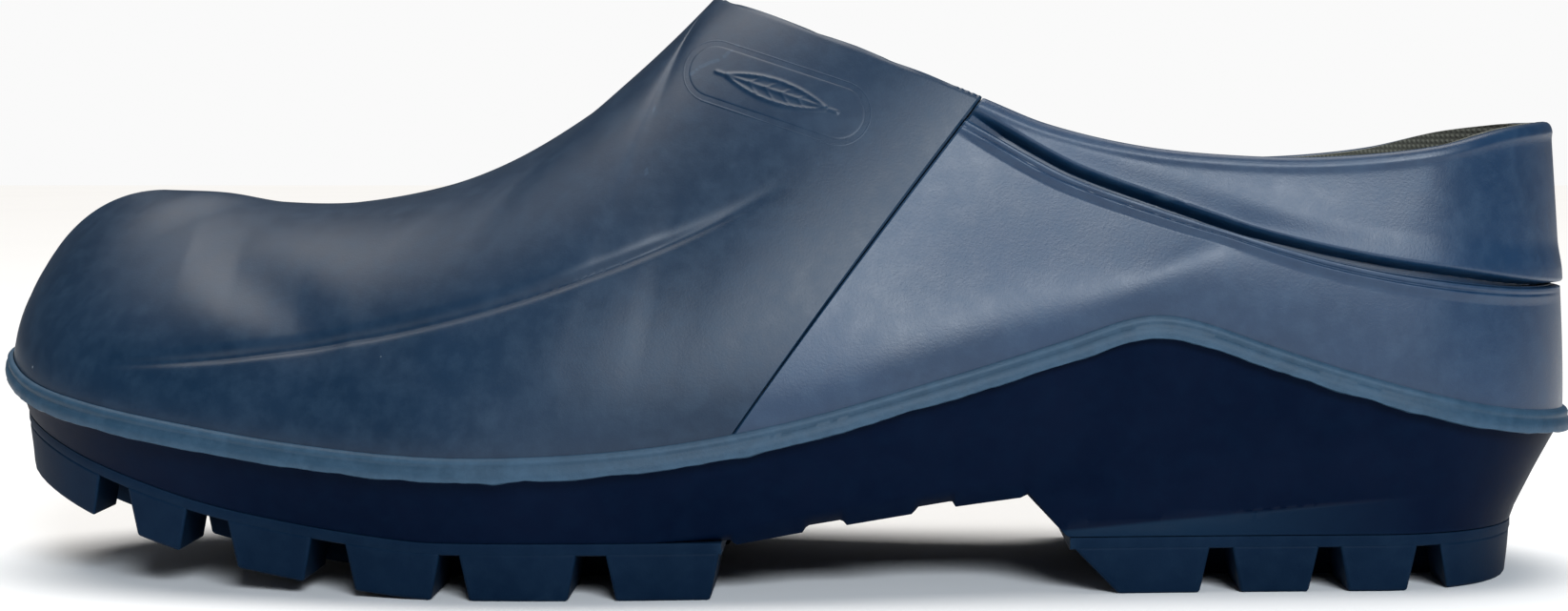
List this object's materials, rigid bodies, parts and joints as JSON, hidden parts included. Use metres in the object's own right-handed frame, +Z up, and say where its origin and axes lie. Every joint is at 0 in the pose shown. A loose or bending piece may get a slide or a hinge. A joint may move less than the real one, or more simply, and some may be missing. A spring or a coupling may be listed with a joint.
{
  "type": "garden clog",
  "caption": "Navy moulded rubber garden clog for the left foot, with a low heel collar, welt, cleated sole and loose insole.",
  "frame": {"origin": "on the ground, under the centre of the clog's bounding box", "axes": "+X from the toe to the heel, +Y from the outer side to the inner side of the foot, +Z up"},
  "size_m": [0.29, 0.1052, 0.105],
  "materials": {
    "navy_rubber": "satin, finely grained",
    "sole_rubber": "matt",
    "lining_knit": "knitted, grey-olive",
    "insole_foam": "closed-cell foam",
    "insole_cloth": "woven"
  },
  "bodies": {
    "clog": {"vamp": "navy_rubber", "quarter": "navy_rubber", "collar_band": "navy_rubber", "vamp_lining": "lining_knit", "quarter_lining": "lining_knit", "welt": "navy_rubber", "midsole": "sole_rubber", "forefoot_tread": "sole_rubber", "heel_tread": "sole_rubber"},
    "insole": {"insole_foam": "insole_foam", "insole_cover": "insole_cloth"}
  },
  "joints": [
    {"name": "insole_lift", "type": "hinge", "parent": "clog", "child": "insole", "pos_m": [-0.1365, 0, 0.03], "axis": [0, -1, 0], "range_deg": [0, 10]}
  ]
}
